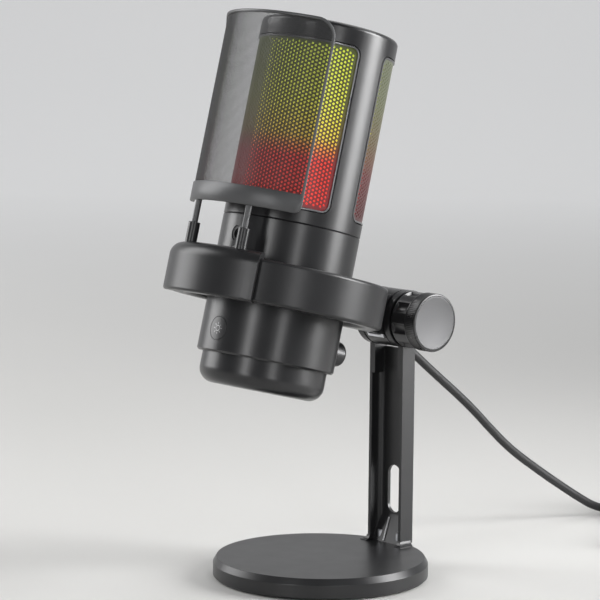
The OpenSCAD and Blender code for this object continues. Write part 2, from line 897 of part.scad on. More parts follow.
base_shell();
base_weight();
base_pad();
post_screws();
post();
hinge_bolt();
hinge_cap();
friction_washers();
knob_washer();
tilt_knob();
knob_insert();
knob_face();
cradle_ring();
hinge_bushing();
knuckle_index();
isolation_collar();
shock_pads();
filter_clip();
clip_screws();
rod_sleeves();
filter_rods();
filter_frame();
filter_mesh();
lower_body();
bottom_cap();
cap_screws();
upper_shell();
top_cap();
front_rim();
back_rim();
front_grille();
back_grille();
diffuser();
led_strips();
capsule_foam();
capsule();
capsule_mount();
chassis();
main_board();
headphone_jack();
jack_ring();
button_switch();
front_button();
gain_pot();
gain_shaft();
gain_knob();
usb_board();
usb_socket();
usb_plug();
usb_relief();
cord_neck();
cord_drop();
cord_coil();
cord_tie();
cord_tail();
plug_relief();
plug_body();
plug_shell();
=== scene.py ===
"""Looks of the desktop microphone: materials for its CAD parts, and detailed pieces where a surface
needs more than the CAD shape. Lengths are written in millimetres and turned into metres by MM."""

import json
import math

import bmesh
import bpy
from mathutils import Matrix, Vector
from mathutils.geometry import delaunay_2d_cdt

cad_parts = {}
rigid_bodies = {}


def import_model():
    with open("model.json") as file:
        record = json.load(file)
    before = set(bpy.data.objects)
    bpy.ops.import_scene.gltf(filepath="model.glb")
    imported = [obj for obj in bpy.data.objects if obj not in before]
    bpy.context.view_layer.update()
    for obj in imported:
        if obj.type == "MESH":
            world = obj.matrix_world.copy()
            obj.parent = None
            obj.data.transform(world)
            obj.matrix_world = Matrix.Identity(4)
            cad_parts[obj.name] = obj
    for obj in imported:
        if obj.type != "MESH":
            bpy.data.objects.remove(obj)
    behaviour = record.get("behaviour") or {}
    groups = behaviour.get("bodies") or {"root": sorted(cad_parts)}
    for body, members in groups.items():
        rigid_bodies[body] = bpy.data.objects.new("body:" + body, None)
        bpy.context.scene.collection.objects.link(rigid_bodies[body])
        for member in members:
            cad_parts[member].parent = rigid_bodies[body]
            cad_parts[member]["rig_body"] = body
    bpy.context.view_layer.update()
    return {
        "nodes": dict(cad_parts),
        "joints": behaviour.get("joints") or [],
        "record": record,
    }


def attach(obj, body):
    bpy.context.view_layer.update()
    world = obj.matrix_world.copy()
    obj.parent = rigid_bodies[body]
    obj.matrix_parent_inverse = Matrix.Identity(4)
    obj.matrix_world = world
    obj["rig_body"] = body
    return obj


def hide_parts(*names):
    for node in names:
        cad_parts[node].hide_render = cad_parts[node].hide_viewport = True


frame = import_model()

MM = 0.001
JOINTS = {joint["name"]: joint for joint in frame["joints"]}
HINGE = Vector(JOINTS["mic_tilt"]["pos_m"]) / MM
UP = Vector(JOINTS["filter_slide"]["axis"]).normalized()
BACK = Vector((0, UP.z, -UP.y))

# Driving dimensions, the same as the CAD's. R is a radius, S a height along the microphone's axis
# and AZ an angle from its front, in degrees
REACH = 70.6
MIC_R = 30.0
MIC_TOP = 115.0
BORE_R = 27.8
LIP_R = 24.0
SEAM = 27.9
WINDOW_AZ = 77.4
WINDOW_S = (33.5, 106.5)
WINDOW_CORNER = 4.4
GRILLE_R = 29.2
FILTER_R = 44.7
FILTER_IN = 43.9
FILTER_OUT = 45.5
GAUZE_CORNER = 7.4
FILTER_AZ = 51.5
FILTER_S = (30.3, 113.2)
FILTER_BAND = 8.2
CORD_D = 4.0
BARREL_R = 13.0
BUTTON_S = -22


def mic_matrix():
    """Places the microphone's own axes, Z along its body, in the shared frame."""
    turn = Matrix((Vector((1, 0, 0)), BACK, UP)).transposed().to_4x4()
    return Matrix.Translation(HINGE - REACH * BACK) @ turn


MIC = mic_matrix()
WORLD = Matrix.Identity(4)
HINGE_AXES = Matrix.Translation(HINGE)


# ---- Camera, floor and lights ----

def aim(obj, place, back, roll=0.0):
    """Stands obj at place, looking against back, turned by roll degrees."""
    back = back.normalized()
    right = Vector((0, 0, 1)).cross(back).normalized()
    up = back.cross(right)
    tilt = math.radians(roll)
    right, up = (
        right * math.cos(tilt) + up * math.sin(tilt),
        up * math.cos(tilt) - right * math.sin(tilt),
    )
    turn = Matrix((right, up, back)).transposed().to_4x4()
    obj.matrix_world = Matrix.Translation(place) @ turn


CAMERA_BACK = Vector((0.73869, -0.66204, 0.12664))
CAMERA_TARGET = Vector((-6.79, -7.57, 123.84)) * MM
CAMERA_DISTANCE = 1.17956
CAMERA_ROLL = 0.53
LIGHTS_TARGET = Vector((0, 0, 0.14))


def make_camera():
    """The studio camera, a long lens a little above the table."""
    data = bpy.data.cameras.new("camera")
    data.sensor_width = 36.0
    data.lens = 161.2
    data.clip_end = 20.0
    camera = bpy.data.objects.new("camera", data)
    bpy.context.scene.collection.objects.link(camera)
    place = CAMERA_TARGET + CAMERA_DISTANCE * CAMERA_BACK.normalized()
    aim(camera, place, CAMERA_BACK, CAMERA_ROLL)
    bpy.context.scene.camera = camera
    bpy.context.scene.view_settings.view_transform = "Standard"


def strip_light(name, turn, height, distance, size, power, beam=180):
    """A soft box aimed at the object, turn degrees to the right of the camera; sizes in metres."""
    ahead = Vector((CAMERA_BACK.x, CAMERA_BACK.y, 0)).normalized()
    right = Vector((0, 0, 1)).cross(ahead)
    angle = math.radians(turn)
    place = distance * (ahead * math.cos(angle) + right * math.sin(angle)) + Vector((0, 0, height))
    data = bpy.data.lights.new(name, "AREA")
    data.shape = "RECTANGLE"
    data.size, data.size_y = size
    data.energy = power
    data.spread = math.radians(beam)
    light = bpy.data.objects.new(name, data)
    bpy.context.scene.collection.objects.link(light)
    aim(light, place, place - LIGHTS_TARGET)


def make_studio():
    """A pale floor, a pale surround and tall soft boxes, which draw upright streaks on the body."""
    floor = mesh_piece("studio_floor", *floor_mesh(), WORLD)
    floor.data.materials.append(floor_material())
    for face in floor.data.polygons:
        face.use_smooth = True
    world = bpy.data.worlds.new("studio")
    bpy.context.scene.world = world
    world.use_nodes = True
    background = world.node_tree.nodes["Background"]
    background.inputs["Color"].default_value = (0.93, 0.95, 1.0, 1)
    background.inputs["Strength"].default_value = 0.17
    strip_light("left_box", -112, 0.80, 1.5, (0.93, 1.35), 20.0)
    strip_light("left_strip", -33, 0.40, 1.3, (0.16, 1.0), 5.0)
    strip_light("camera_strip", 17, 0.45, 1.5, (0.12, 1.0), 4.0)
    strip_light("right_box", 86, 0.41, 0.9, (0.40, 0.76), 4.0, beam=80)
    strip_light("top_box", 150, 1.2, 0.7, (0.9, 0.9), 5.0)


def floor_mesh():
    """A wide floor that turns up into a backdrop far behind the object."""
    half = 2600.0
    bend = 700.0
    height = 2200.0
    camera_azimuth = 48
    rows = [(-half, 0.0)]
    rows += [(half - bend + bend * math.sin(a), bend - bend * math.cos(a))
             for a in [math.radians(3 * k) for k in range(31)]]
    rows += [(half, height)]
    turn = Matrix.Rotation(math.radians(camera_azimuth), 4, "Z")
    points = [turn @ Vector((side, y, z)) for y, z in rows for side in (-half, half)]
    faces = [(2 * k, 2 * k + 1, 2 * k + 3, 2 * k + 2) for k in range(len(rows) - 1)]
    return points, faces


# ---- Materials ----

def new_material(name):
    """An empty node material, with its tree and its shader."""
    material = bpy.data.materials.new(name)
    material.use_nodes = True
    tree = material.node_tree
    return material, tree, tree.nodes["Principled BSDF"]


def noise(tree, coords, scale, detail=3.0):
    """A noise texture in the object's own space, scale in waves per metre."""
    node = tree.nodes.new("ShaderNodeTexNoise")
    node.inputs["Scale"].default_value = scale
    node.inputs["Detail"].default_value = detail
    tree.links.new(coords, node.inputs["Vector"])
    return node.outputs["Fac"]


def spread(tree, fac, low, high):
    """Maps a noise onto the range from low to high."""
    node = tree.nodes.new("ShaderNodeMapRange")
    node.inputs["From Min"].default_value = 0.3
    node.inputs["From Max"].default_value = 0.7
    node.inputs["To Min"].default_value = low
    node.inputs["To Max"].default_value = high
    tree.links.new(fac, node.inputs["Value"])
    return node.outputs["Result"]


def two_tone(tree, fac, dark, light):
    """Blends two near colours by a noise."""
    node = tree.nodes.new("ShaderNodeMix")
    node.data_type = "RGBA"
    node.inputs["A"].default_value = (*dark, 1)
    node.inputs["B"].default_value = (*light, 1)
    tree.links.new(fac, node.inputs["Factor"])
    return node.outputs["Result"]


def surface(name, color, rough, metallic=0.0, grain=2600.0, depth=0.00003, vary=0.12,
            specular=0.5, coat=0.0, clouds=24.0, uneven=0.04):
    """A moulded, painted or cast surface: fine grain of some depth in metres, and cloudy patches
    that vary its colour by a share and its roughness by uneven."""
    material, tree, shader = new_material(name)
    coords = tree.nodes.new("ShaderNodeTexCoord").outputs["Object"]
    patches = noise(tree, coords, clouds)
    dark = [c * (1 - vary) for c in color]
    light = [min(1.0, c * (1 + vary)) for c in color]
    tree.links.new(two_tone(tree, patches, dark, light), shader.inputs["Base Color"])
    gloss = spread(tree, noise(tree, coords, 4 * clouds), rough - uneven, rough + uneven)
    tree.links.new(gloss, shader.inputs["Roughness"])
    shader.inputs["Metallic"].default_value = metallic
    shader.inputs["Specular IOR Level"].default_value = specular
    shader.inputs["Coat Weight"].default_value = coat
    bump = tree.nodes.new("ShaderNodeBump")
    bump.inputs["Strength"].default_value = 0.35
    bump.inputs["Distance"].default_value = depth
    tree.links.new(noise(tree, coords, grain, 2.0), bump.inputs["Height"])
    tree.links.new(bump.outputs["Normal"], shader.inputs["Normal"])
    return material


def brushed(name, color, rough, along, grain=3000.0):
    """Turned or brushed metal, its lines running along one axis."""
    material, tree, shader = new_material(name)
    coords = tree.nodes.new("ShaderNodeTexCoord").outputs["Object"]
    stretch = tree.nodes.new("ShaderNodeMapping")
    stretch.inputs["Scale"].default_value = [0.04 if axis == along else 1.0 for axis in "XYZ"]
    tree.links.new(coords, stretch.inputs["Vector"])
    lines = noise(tree, stretch.outputs["Vector"], grain)
    dark = [0.82 * c for c in color]
    tree.links.new(two_tone(tree, lines, dark, color), shader.inputs["Base Color"])
    tree.links.new(spread(tree, lines, rough - 0.05, rough + 0.08), shader.inputs["Roughness"])
    shader.inputs["Metallic"].default_value = 1.0
    return material


def floor_material():
    """Pale matt paper with painted light: an emission that grows the farther it lies behind the object,
    brightening it where it turns up into the backdrop.
    """
    material = surface("floor_paper", (0.60, 0.595, 0.58), 0.75, grain=900, vary=0.02,
                       specular=0.2, clouds=3)
    tree = material.node_tree
    shader = tree.nodes["Principled BSDF"]
    coords = tree.nodes.new("ShaderNodeTexCoord").outputs["Object"]
    behind = tree.nodes.new("ShaderNodeVectorMath")
    behind.operation = "DOT_PRODUCT"
    behind.inputs[1].default_value = (-CAMERA_BACK.x, -CAMERA_BACK.y, 0)
    tree.links.new(coords, behind.inputs[0])
    # Painted light: the paper gives off more light the farther it lies behind the object.
    backdrop_glow = tree.nodes.new("ShaderNodeMapRange")
    backdrop_glow.interpolation_type = "SMOOTHSTEP"
    backdrop_glow.inputs["From Min"].default_value = 0.3
    backdrop_glow.inputs["From Max"].default_value = 2.2
    backdrop_glow.inputs["To Min"].default_value = 0.0
    backdrop_glow.inputs["To Max"].default_value = 0.40
    tree.links.new(behind.outputs["Value"], backdrop_glow.inputs["Value"])
    tree.links.new(backdrop_glow.outputs["Result"], shader.inputs["Emission Strength"])
    shader.inputs["Emission Color"].default_value = (0.97, 0.98, 1.0, 1)
    return material


def height_ramp(tree, stops):
    """Colours that change along the microphone's axis, each stop a height in mm and a colour."""
    coords = tree.nodes.new("ShaderNodeTexCoord").outputs["Object"]
    along = tree.nodes.new("ShaderNodeVectorMath")
    along.operation = "DOT_PRODUCT"
    along.inputs[1].default_value = UP
    tree.links.new(coords, along.inputs[0])
    start = (HINGE - REACH * BACK).dot(UP)
    reach = tree.nodes.new("ShaderNodeMapRange")
    reach.inputs["From Min"].default_value = (start + WINDOW_S[0]) * MM
    reach.inputs["From Max"].default_value = (start + WINDOW_S[1]) * MM
    tree.links.new(along.outputs["Value"], reach.inputs["Value"])
    ramp = tree.nodes.new("ShaderNodeValToRGB")
    tree.links.new(reach.outputs["Result"], ramp.inputs["Fac"])
    span = WINDOW_S[1] - WINDOW_S[0]
    elements = ramp.color_ramp.elements
    while len(elements) < len(stops):
        elements.new(0.5)
    for element, (height, color) in zip(elements, stops):
        element.position = (height - WINDOW_S[0]) / span
        element.color = (*color, 1)
    return ramp.outputs["Color"]


def glow_material():
    """The light tube: red at its foot, amber above it and yellow-green at its head."""
    material, tree, shader = new_material("light_tube")
    color = height_ramp(tree, [
        (34, (0.80, 0.07, 0.055)), (56, (0.80, 0.08, 0.055)), (61, (0.82, 0.34, 0.07)),
        (65, (0.82, 0.60, 0.08)), (80, (0.76, 0.76, 0.09)), (104, (0.61, 0.70, 0.08)),
    ])
    tree.links.new(color, shader.inputs["Base Color"])
    tree.links.new(color, shader.inputs["Emission Color"])
    shader.inputs["Emission Strength"].default_value = 1.0
    shader.inputs["Roughness"].default_value = 0.5
    return material


# Painted glow: colours the grille metal gives off for the tube's light behind it, each stop a height in
# mm and a colour
FRONT_PAINTED_GLOW = [
    (34, (0.21, 0.003, 0.006)), (55, (0.18, 0.003, 0.005)), (60, (0.13, 0.02, 0.004)),
    (65, (0.105, 0.068, 0.005)), (80, (0.09, 0.09, 0.006)), (104, (0.06, 0.075, 0.006)),
]
# The rear's dimmer, greyer stops also paint the sheen of the metal seen at a grazing angle
REAR_PAINTED_GLOW_AND_SHEEN = [
    (34, (0.10, 0.030, 0.030)), (54, (0.18, 0.060, 0.060)), (61, (0.20, 0.105, 0.070)),
    (68, (0.20, 0.15, 0.085)), (86, (0.20, 0.215, 0.125)), (104, (0.20, 0.22, 0.14)),
]


def grille_material(name, stops, glow):
    """Dark perforated steel that gives off a painted glow, in place of the light of the tube behind it.
    """
    material, tree, shader = new_material(name)
    tree.links.new(height_ramp(tree, stops), shader.inputs["Emission Color"])
    shader.inputs["Emission Strength"].default_value = glow
    shader.inputs["Metallic"].default_value = 0.7
    coords = tree.nodes.new("ShaderNodeTexCoord").outputs["Object"]
    speckle = noise(tree, coords, 500)
    paint = two_tone(tree, speckle, (0.035, 0.035, 0.036), (0.050, 0.050, 0.051))
    tree.links.new(paint, shader.inputs["Base Color"])
    tree.links.new(spread(tree, speckle, 0.34, 0.46), shader.inputs["Roughness"])
    return material


def make_materials():
    """The finish of each of the record's material slots."""
    return {
        "shell_black": surface("shell_black", (0.013, 0.013, 0.014), 0.30, metallic=0.1,
                               grain=6200, depth=0.000003, specular=0.6, vary=0.03,
                               uneven=0.012),
        "painted_stand": surface("painted_stand", (0.015, 0.015, 0.016), 0.34, metallic=0.15,
                                 grain=5200, depth=0.000004, specular=0.5, vary=0.02,
                                 uneven=0.012),
        "rubber_black": surface("rubber_black", (0.016, 0.016, 0.017), 0.72, grain=2200,
                                depth=0.00004, specular=0.3),
        "part_black": surface("part_black", (0.018, 0.018, 0.019), 0.30, grain=3600,
                              depth=0.00001, specular=0.55),
        "steel": brushed("steel", (0.62, 0.62, 0.63), 0.26, "Z"),
        "zinc_plated": brushed("zinc_plated", (0.66, 0.67, 0.70), 0.34, "X"),
        "brass": brushed("brass", (0.75, 0.55, 0.25), 0.28, "X"),
        "knob_disc": surface("knob_disc", (0.110, 0.110, 0.113), 0.55, metallic=0.35, grain=6000,
                             depth=0.000008, vary=0.03, clouds=10),
        "filter_frame": surface("filter_frame", (0.085, 0.086, 0.088), 0.40, metallic=0.4,
                                grain=5000, depth=0.00001, vary=0.05),
        "filter_gauze": brushed("filter_gauze", (0.15, 0.15, 0.153), 0.48, "Z", 1800),
        "window_rim": surface("window_rim", (0.22, 0.22, 0.225), 0.30, metallic=0.9, grain=5000,
                              depth=0.000008, vary=0.05),
        "grille_metal": grille_material("grille_metal", FRONT_PAINTED_GLOW, 0.85),
        "light_tube": glow_material(),
        "circuit_board": surface("circuit_board", (0.012, 0.085, 0.038), 0.38, grain=1500,
                                 depth=0.00003, vary=0.25, coat=0.3, clouds=260),
        "foam": surface("foam", (0.03, 0.03, 0.032), 0.95, grain=1400, depth=0.0004,
                        specular=0.1, clouds=300),
        "capsule_gold": brushed("capsule_gold", (0.83, 0.62, 0.28), 0.30, "Z"),
        "plug_metal": brushed("plug_metal", (0.70, 0.70, 0.71), 0.22, "X"),
        "cord_jacket": surface("cord_jacket", (0.020, 0.020, 0.021), 0.52, grain=2600,
                               depth=0.00002, specular=0.4, clouds=60),
    }


def dress_nodes(finishes):
    """Gives every CAD node the finish of its material slot."""
    for part in frame["record"]["subparts"]:
        node = frame["nodes"][part["node"]]
        slots = node.data.materials
        finish = finishes[part["material_slot"]]
        for index in range(len(slots)):
            slots[index] = finish
        if not slots:
            slots.append(finish)


# ---- Mesh helpers ----

def mesh_piece(name, points, faces, place):
    """A mesh object from points in mm and faces, in the axes of place."""
    mesh = bpy.data.meshes.new(name)
    mesh.from_pydata([(place @ Vector(p)) * MM for p in points], [], faces)
    mesh.validate()
    piece = bpy.data.objects.new(name, mesh)
    bpy.context.scene.collection.objects.link(piece)
    return piece


def finish_piece(piece, body, slot, bevel=0.0, sharp=32.0, oriented=False):
    """Rides a piece on its body, in its slot's finish, its edges bevelled and its faces smooth.

    The weighted normals keep wide faces flat beside their bevels and curved walls free of ripples."""
    piece.data.materials.append(FINISHES[slot])
    if not oriented:
        fix_normals(piece.data)
    if bevel:
        edge = piece.modifiers.new("edges", "BEVEL")
        edge.width = bevel * MM
        edge.segments = 3
        edge.limit_method = "ANGLE"
        edge.angle_limit = math.radians(sharp)
    for polygon in piece.data.polygons:
        polygon.use_smooth = True
    piece.data.set_sharp_from_angle(angle=math.radians(sharp))
    if bevel:
        shading = piece.modifiers.new("shading", "WEIGHTED_NORMAL")
        shading.mode = "FACE_AREA"
        shading.weight = 50
        shading.keep_sharp = True
    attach(piece, body)


def fix_normals(mesh):
    """Turns every face of a closed mesh outward and joins points that coincide."""
    work = bmesh.new()
    work.from_mesh(mesh)
    bmesh.ops.remove_doubles(work, verts=work.verts, dist=0.000002)
    bmesh.ops.recalc_face_normals(work, faces=work.faces)
    work.to_mesh(mesh)
    work.free()


def rings(loops, closed_path=False):
    """Joins loops of equal length into a skin, with its ends capped unless the path is closed."""
    count = len(loops[0])
    points = [p for loop in loops for p in loop]
    faces = []
    last = len(loops) if closed_path else len(loops) - 1
    for i in range(last):
        a, b = i * count, ((i + 1) % len(loops)) * count
        for k in range(count):
            j = (k + 1) % count
            faces.append((a + k, a + j, b + j, b + k))
    if not closed_path:
        faces.append(tuple(range(count - 1, -1, -1)))
        faces.append(tuple((len(loops) - 1) * count + k for k in range(count)))
    return points, faces


def lathe(profile, steps=128, closed=True):
    """Turns a profile of (radius, height) points round Z; a closed profile makes a ring."""
    loops = []
    for radius, height in profile:
        loops.append([
            (radius * math.sin(2 * math.pi * k / steps), -radius * math.cos(2 * math.pi * k / steps),
             height) for k in range(steps)
        ])
    return rings(loops, closed_path=closed)


def arc(center, radius, start, end, count):
    """Points of an arc in a profile, angles in degrees."""
    turns = [math.radians(start + (end - start) * k / count) for k in range(count + 1)]
    return [(center[0] + radius * math.cos(a), center[1] + radius * math.sin(a)) for a in turns]


def outline(half, s0, s1, low, high, inset, count=10, across=44):
    """A rounded rectangle as (arc length, height) points, shrunk by inset, from its lower left.

    low and high are the radii of its lower and upper corners, count the steps of each corner."""
    half, s0, s1 = half - inset, s0 + inset, s1 - inset
    low, high = max(low - inset, 0.05), max(high - inset, 0.05)
    points = []
    points += arc((-half + low, s0 + low), low, 180, 270, count)
    points += [(-half + low + 2 * (half - low) * k / across, s0) for k in range(1, across)]
    points += arc((half - low, s0 + low), low, 270, 360, count)
    points += [(half, s0 + low + (s1 - high - s0 - low) * k / 6) for k in range(1, 6)]
    points += arc((half - high, s1 - high), high, 0, 90, count)
    points += [(half - high - 2 * (half - high) * k / across, s1) for k in range(1, across)]
    points += arc((-half + high, s1 - high), high, 90, 180, count)
    points += [(-half, s1 - high - (s1 - high - s0 - low) * k / 6) for k in range(1, 6)]
    return points


def wrap(points, radius, unit, azimuth=0.0):
    """Bends flat points onto a cylinder: arc lengths are measured at radius unit."""
    bent = []
    for u, s in points:
        turn = u / unit + math.radians(azimuth)
        bent.append((radius * math.sin(turn), -radius * math.cos(turn), s))
    return bent


# ---- Pieces made from the CAD's own solids ----

def softened(node, bevel):
    """A copy of a CAD part with clean faces and rounded edges, standing for the part."""
    source = frame["nodes"][node]
    piece = bpy.data.objects.new(node + "_soft", source.data.copy())
    bpy.context.scene.collection.objects.link(piece)
    work = bmesh.new()
    work.from_mesh(piece.data)
    bmesh.ops.remove_doubles(work, verts=work.verts, dist=0.000004)
    bmesh.ops.dissolve_limit(work, angle_limit=math.radians(0.6), verts=work.verts,
                             edges=work.edges)
    work.to_mesh(piece.data)
    work.free()
    piece.data.materials.clear()
    slot = next(p["material_slot"] for p in frame["record"]["subparts"] if p["node"] == node)
    finish_piece(piece, source["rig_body"], slot, bevel, sharp=30)
    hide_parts(node)


# ---- The upper shell, its window rims and its grilles ----

def window_columns():
    """Azimuths, in degrees, of the shell's columns: close together at the window corners."""
    turn = math.degrees(WINDOW_CORNER / MIC_R)
    corner = [WINDOW_AZ - turn * k / 4 for k in range(5)]
    inner = corner[-1]
    half = sorted(corner)
    front = [-a for a in reversed(half)] + [-inner + 2 * inner * k / 30 for k in range(1, 30)] + half
    gap = [WINDOW_AZ + (180 - 2 * WINDOW_AZ) * k / 6 for k in range(1, 6)]
    back = [a + 180 for a in front]
    return front + gap + back + [a + 180 for a in gap]


def window_rows():
    """Heights of the shell's rows, close together at the window corners."""
    low, high = WINDOW_S
    steps = [WINDOW_CORNER * k / 4 for k in range(5)]
    start, end = low + WINDOW_CORNER, high - WINDOW_CORNER
    middle = [start + (end - start) * k / 9 for k in range(1, 9)]
    return [low + d for d in steps] + middle + [high - d for d in reversed(steps)]


def shell_profile():
    """Closed section of the shell as (radius, height): up its outside, over its top, down its inside."""
    rows = window_rows()
    rounding = 2.2
    outer = [(MIC_R - 0.3, SEAM), (MIC_R, SEAM + 0.3)] + [(MIC_R, s) for s in rows]
    top = arc((MIC_R - rounding, MIC_TOP - rounding), rounding, 0, 90, 7)
    ceiling = MIC_TOP - 3
    lip = [(LIP_R + 0.3, MIC_TOP), (LIP_R, MIC_TOP - 0.3), (LIP_R, ceiling)]
    inner = [(BORE_R, ceiling)] + [(BORE_R, s) for s in reversed(rows)] + [(BORE_R, SEAM)]
    return outer + top + lip + inner


def in_window(azimuth, height):
    """Whether the middle of a cell lies within either window's bounding rectangle."""
    turn = abs((azimuth + 90) % 180 - 90)
    return turn < WINDOW_AZ and WINDOW_S[0] < height < WINDOW_S[1]


def shell_mesh():
    """The shell as one closed mesh, its two windows with round corners cut through the wall."""
    columns = window_columns()
    profile = shell_profile()
    rows = window_rows()
    count = len(columns)
    points = [(r * math.sin(math.radians(a)), -r * math.cos(math.radians(a)), s)
              for r, s in profile for a in columns]
    faces = []
    for i in range(len(profile)):
        n = (i + 1) % len(profile)
        (r0, s0), (r1, s1) = profile[i], profile[n]
        wall = r0 == r1 and r0 in (MIC_R, BORE_R)
        for j in range(count):
            m = (j + 1) % count
            middle = columns[j] + ((columns[m] - columns[j]) % 360) / 2
            if wall and in_window(middle, (s0 + s1) / 2):
                continue
            faces.append((i * count + j, i * count + m, n * count + m, n * count + j))
    outer = {s: k for k, (r, s) in enumerate(profile) if r == MIC_R and s in rows}
    inner = {s: k for k, (r, s) in enumerate(profile) if r == BORE_R and s in rows}
    for middle in (0, 180):
        walls = [window_edge(points, faces, columns, level, middle, radius)
                 for level, radius in ((outer, MIC_R), (inner, BORE_R))]
        for k in range(len(walls[0])):
            n = (k + 1) % len(walls[0])
            faces.append((walls[0][k], walls[0][n], walls[1][n], walls[1][k]))
    return points, faces


def window_edge(points, faces, columns, level, middle, radius):
    """Fills the corners of a window in one wall, and gives its edge as a loop of points."""
    turn = math.degrees(WINDOW_CORNER / MIC_R)
    rows = window_rows()
    count = len(columns)

    def grid(azimuth, height):
        """Index of the wall's own point nearest to a place."""
        wanted = (azimuth + middle) % 360
        column = min(range(count), key=lambda j: abs((columns[j] - wanted + 180) % 360 - 180))
        row = min(rows, key=lambda s: abs(s - height))
        return level[row] * count + column

    def rounded(side, end, azimuth, height):
        """Fans a corner out between the grid and its arc, and gives the arc, column first."""
        steps = [k / 4 for k in range(5)]
        square = [grid(side * azimuth, height - end * WINDOW_CORNER * (1 - f)) for f in steps]
        square += [grid(side * (azimuth - turn * f), height) for f in steps[1:]]
        curve = [square[0]]
        for k in range(1, 8):
            a = math.radians(90 * k / 8)
            az = math.radians(middle + side * (azimuth - turn * (1 - math.cos(a))))
            s = height - end * WINDOW_CORNER * (1 - math.sin(a))
            curve.append(len(points))
            points.append((radius * math.sin(az), -radius * math.cos(az), s))
        curve.append(square[-1])
        for k in range(8):
            ring = [square[k], square[k + 1], curve[k + 1], curve[k]]
            faces.append(tuple(dict.fromkeys(ring)))
        return curve

    low, high = WINDOW_S
    corners = {(side, end): rounded(side, end, WINDOW_AZ, high if end > 0 else low)
               for side in (-1, 1) for end in (-1, 1)}
    flat = [a for a in window_columns() if abs((a + 180) % 360 - 180) < WINDOW_AZ - turn - 0.01]
    flat = sorted((a + 180) % 360 - 180 for a in flat)
    tall = [s for s in rows if low + WINDOW_CORNER + 0.01 < s < high - WINDOW_CORNER - 0.01]
    edge = list(corners[(-1, -1)])
    edge += [grid(a, low) for a in flat]
    edge += list(reversed(corners[(1, -1)]))
    edge += [grid(WINDOW_AZ, s) for s in tall]
    edge += list(corners[(1, 1)])
    edge += [grid(a, high) for a in reversed(flat)]
    edge += list(reversed(corners[(-1, 1)]))
    edge += [grid(-WINDOW_AZ, s) for s in reversed(tall)]
    return edge


def make_shell():
    """The upper shell with its rounded window openings."""
    piece = mesh_piece("upper_shell_body", *shell_mesh(), MIC)
    finish_piece(piece, "microphone", "shell_black", bevel=0.35)
    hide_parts("upper_shell")


def make_rims():
    """The thin bright frames round the windows, each with a black band on the floor of the narrow groove
    round it, painted shade for that groove.
    """
    near, far = 0.36, 1.28
    deep, proud = 28.4, 30.08
    section = [(near, deep), (near, 29.85), (0.5, proud), (1.1, proud), (far, 29.9), (far, deep)]
    # A black band in the narrow groove between rim and shell: painted shade.
    groove_shade = [(0.01, 28.0), (0.01, 28.9), (0.34, 28.9), (0.34, 28.0)]
    for azimuth, node in ((0, "front_rim"), (180, "back_rim")):
        rim = window_ring(node + "_band", section, azimuth, "window_rim")
        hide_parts(node)
        window_ring(node + "_gasket", groove_shade, azimuth, "rubber_black")


def window_ring(name, section, azimuth, slot):
    """A ring round a window, its section given as (inset from the opening, radius) points."""
    half = math.radians(WINDOW_AZ) * MIC_R
    loops = [wrap(outline(half, *WINDOW_S, WINDOW_CORNER, WINDOW_CORNER, inset), radius, MIC_R,
                  azimuth) for inset, radius in section]
    piece = mesh_piece(name, *rings(loops, closed_path=True), MIC)
    finish_piece(piece, "microphone", slot, sharp=50)
    return piece


def inside_rounded(u, s, half, s0, s1, corner):
    """How far a flat point lies inside a rounded rectangle."""
    du = abs(u) - (half - corner)
    ds = abs(s - (s0 + s1) / 2) - ((s1 - s0) / 2 - corner)
    outside = math.hypot(max(du, 0), max(ds, 0)) + min(max(du, ds), 0)
    return corner - outside


def perforated(half, s0, s1, corner, pitch, hole):
    """A flat perforated panel as points, faces, its hole loops and its outline, all indices."""
    points, lookup, faces, holes, centres = [], {}, [], [], []

    def corner_index(u, s):
        """Index of a cell's corner, which its neighbours share."""
        key = (round(u, 3), round(s, 3))
        if key not in lookup:
            lookup[key] = len(points)
            points.append((u, s))
        return lookup[key]

    reach = pitch / math.sqrt(3)
    step = pitch * math.sqrt(3) / 2
    wide = int(half / step) + 1
    tall = int((s1 - s0) / pitch) + 2
    for i in range(-wide, wide + 1):
        for j in range(-1, tall):
            u = i * step
            s = s0 + 0.9 + pitch * (j + 0.5 * (i % 2))
            if inside_rounded(u, s, half, s0, s1, corner) < reach + 0.08:
                continue
            centres.append((u, s))
            corners = [corner_index(u + reach * math.cos(math.radians(60 * k)),
                                    s + reach * math.sin(math.radians(60 * k))) for k in range(6)]
            start = len(points)
            points += [(u + hole * math.cos(math.radians(30 * k)),
                        s + hole * math.sin(math.radians(30 * k))) for k in range(12)]
            holes.append([start + k for k in range(12)])
            for k in range(6):
                inner = [start + (2 * k + 2) % 12, start + 2 * k + 1, start + 2 * k]
                faces.append((corners[k], corners[(k + 1) % 6], *inner))
    rim = outline(half, s0, s1, corner, corner, 0, 6)
    edge = border(points, faces, holes, rim, CellTest(centres, reach))
    return points, faces, holes, edge


def border(points, faces, holes, rim, cells):
    """Fills the strip between the cells and the panel's outline, and gives the outline's indices."""
    in_hole = {index for loop in holes for index in loop}
    used = dict.fromkeys(pair for face in faces for pair in zip(face, face[1:] + face[:1]))
    free = [(a, b) for a, b in used if (b, a) not in used and not (a in in_hole and b in in_hole)]
    inner = sorted({index for pair in free for index in pair})
    start = len(points)
    points += rim
    edge = [start + k for k in range(len(rim))]
    order = inner + edge
    local = {index: k for k, index in enumerate(order)}
    links = [(local[a], local[b]) for a, b in free]
    links += [(local[a], local[b]) for a, b in zip(edge, edge[1:] + edge[:1])]
    flat = [Vector(points[index]) for index in order]
    _, _, triangles, origins, _, _ = delaunay_2d_cdt(flat, links, [], 0, 0.00001)
    for triangle in triangles:
        ids = [order[origins[k][0]] for k in triangle]
        u = sum(points[k][0] for k in ids) / 3
        s = sum(points[k][1] for k in ids) / 3
        if not cells.covers(u, s):
            faces.append(tuple(ids))
    return edge


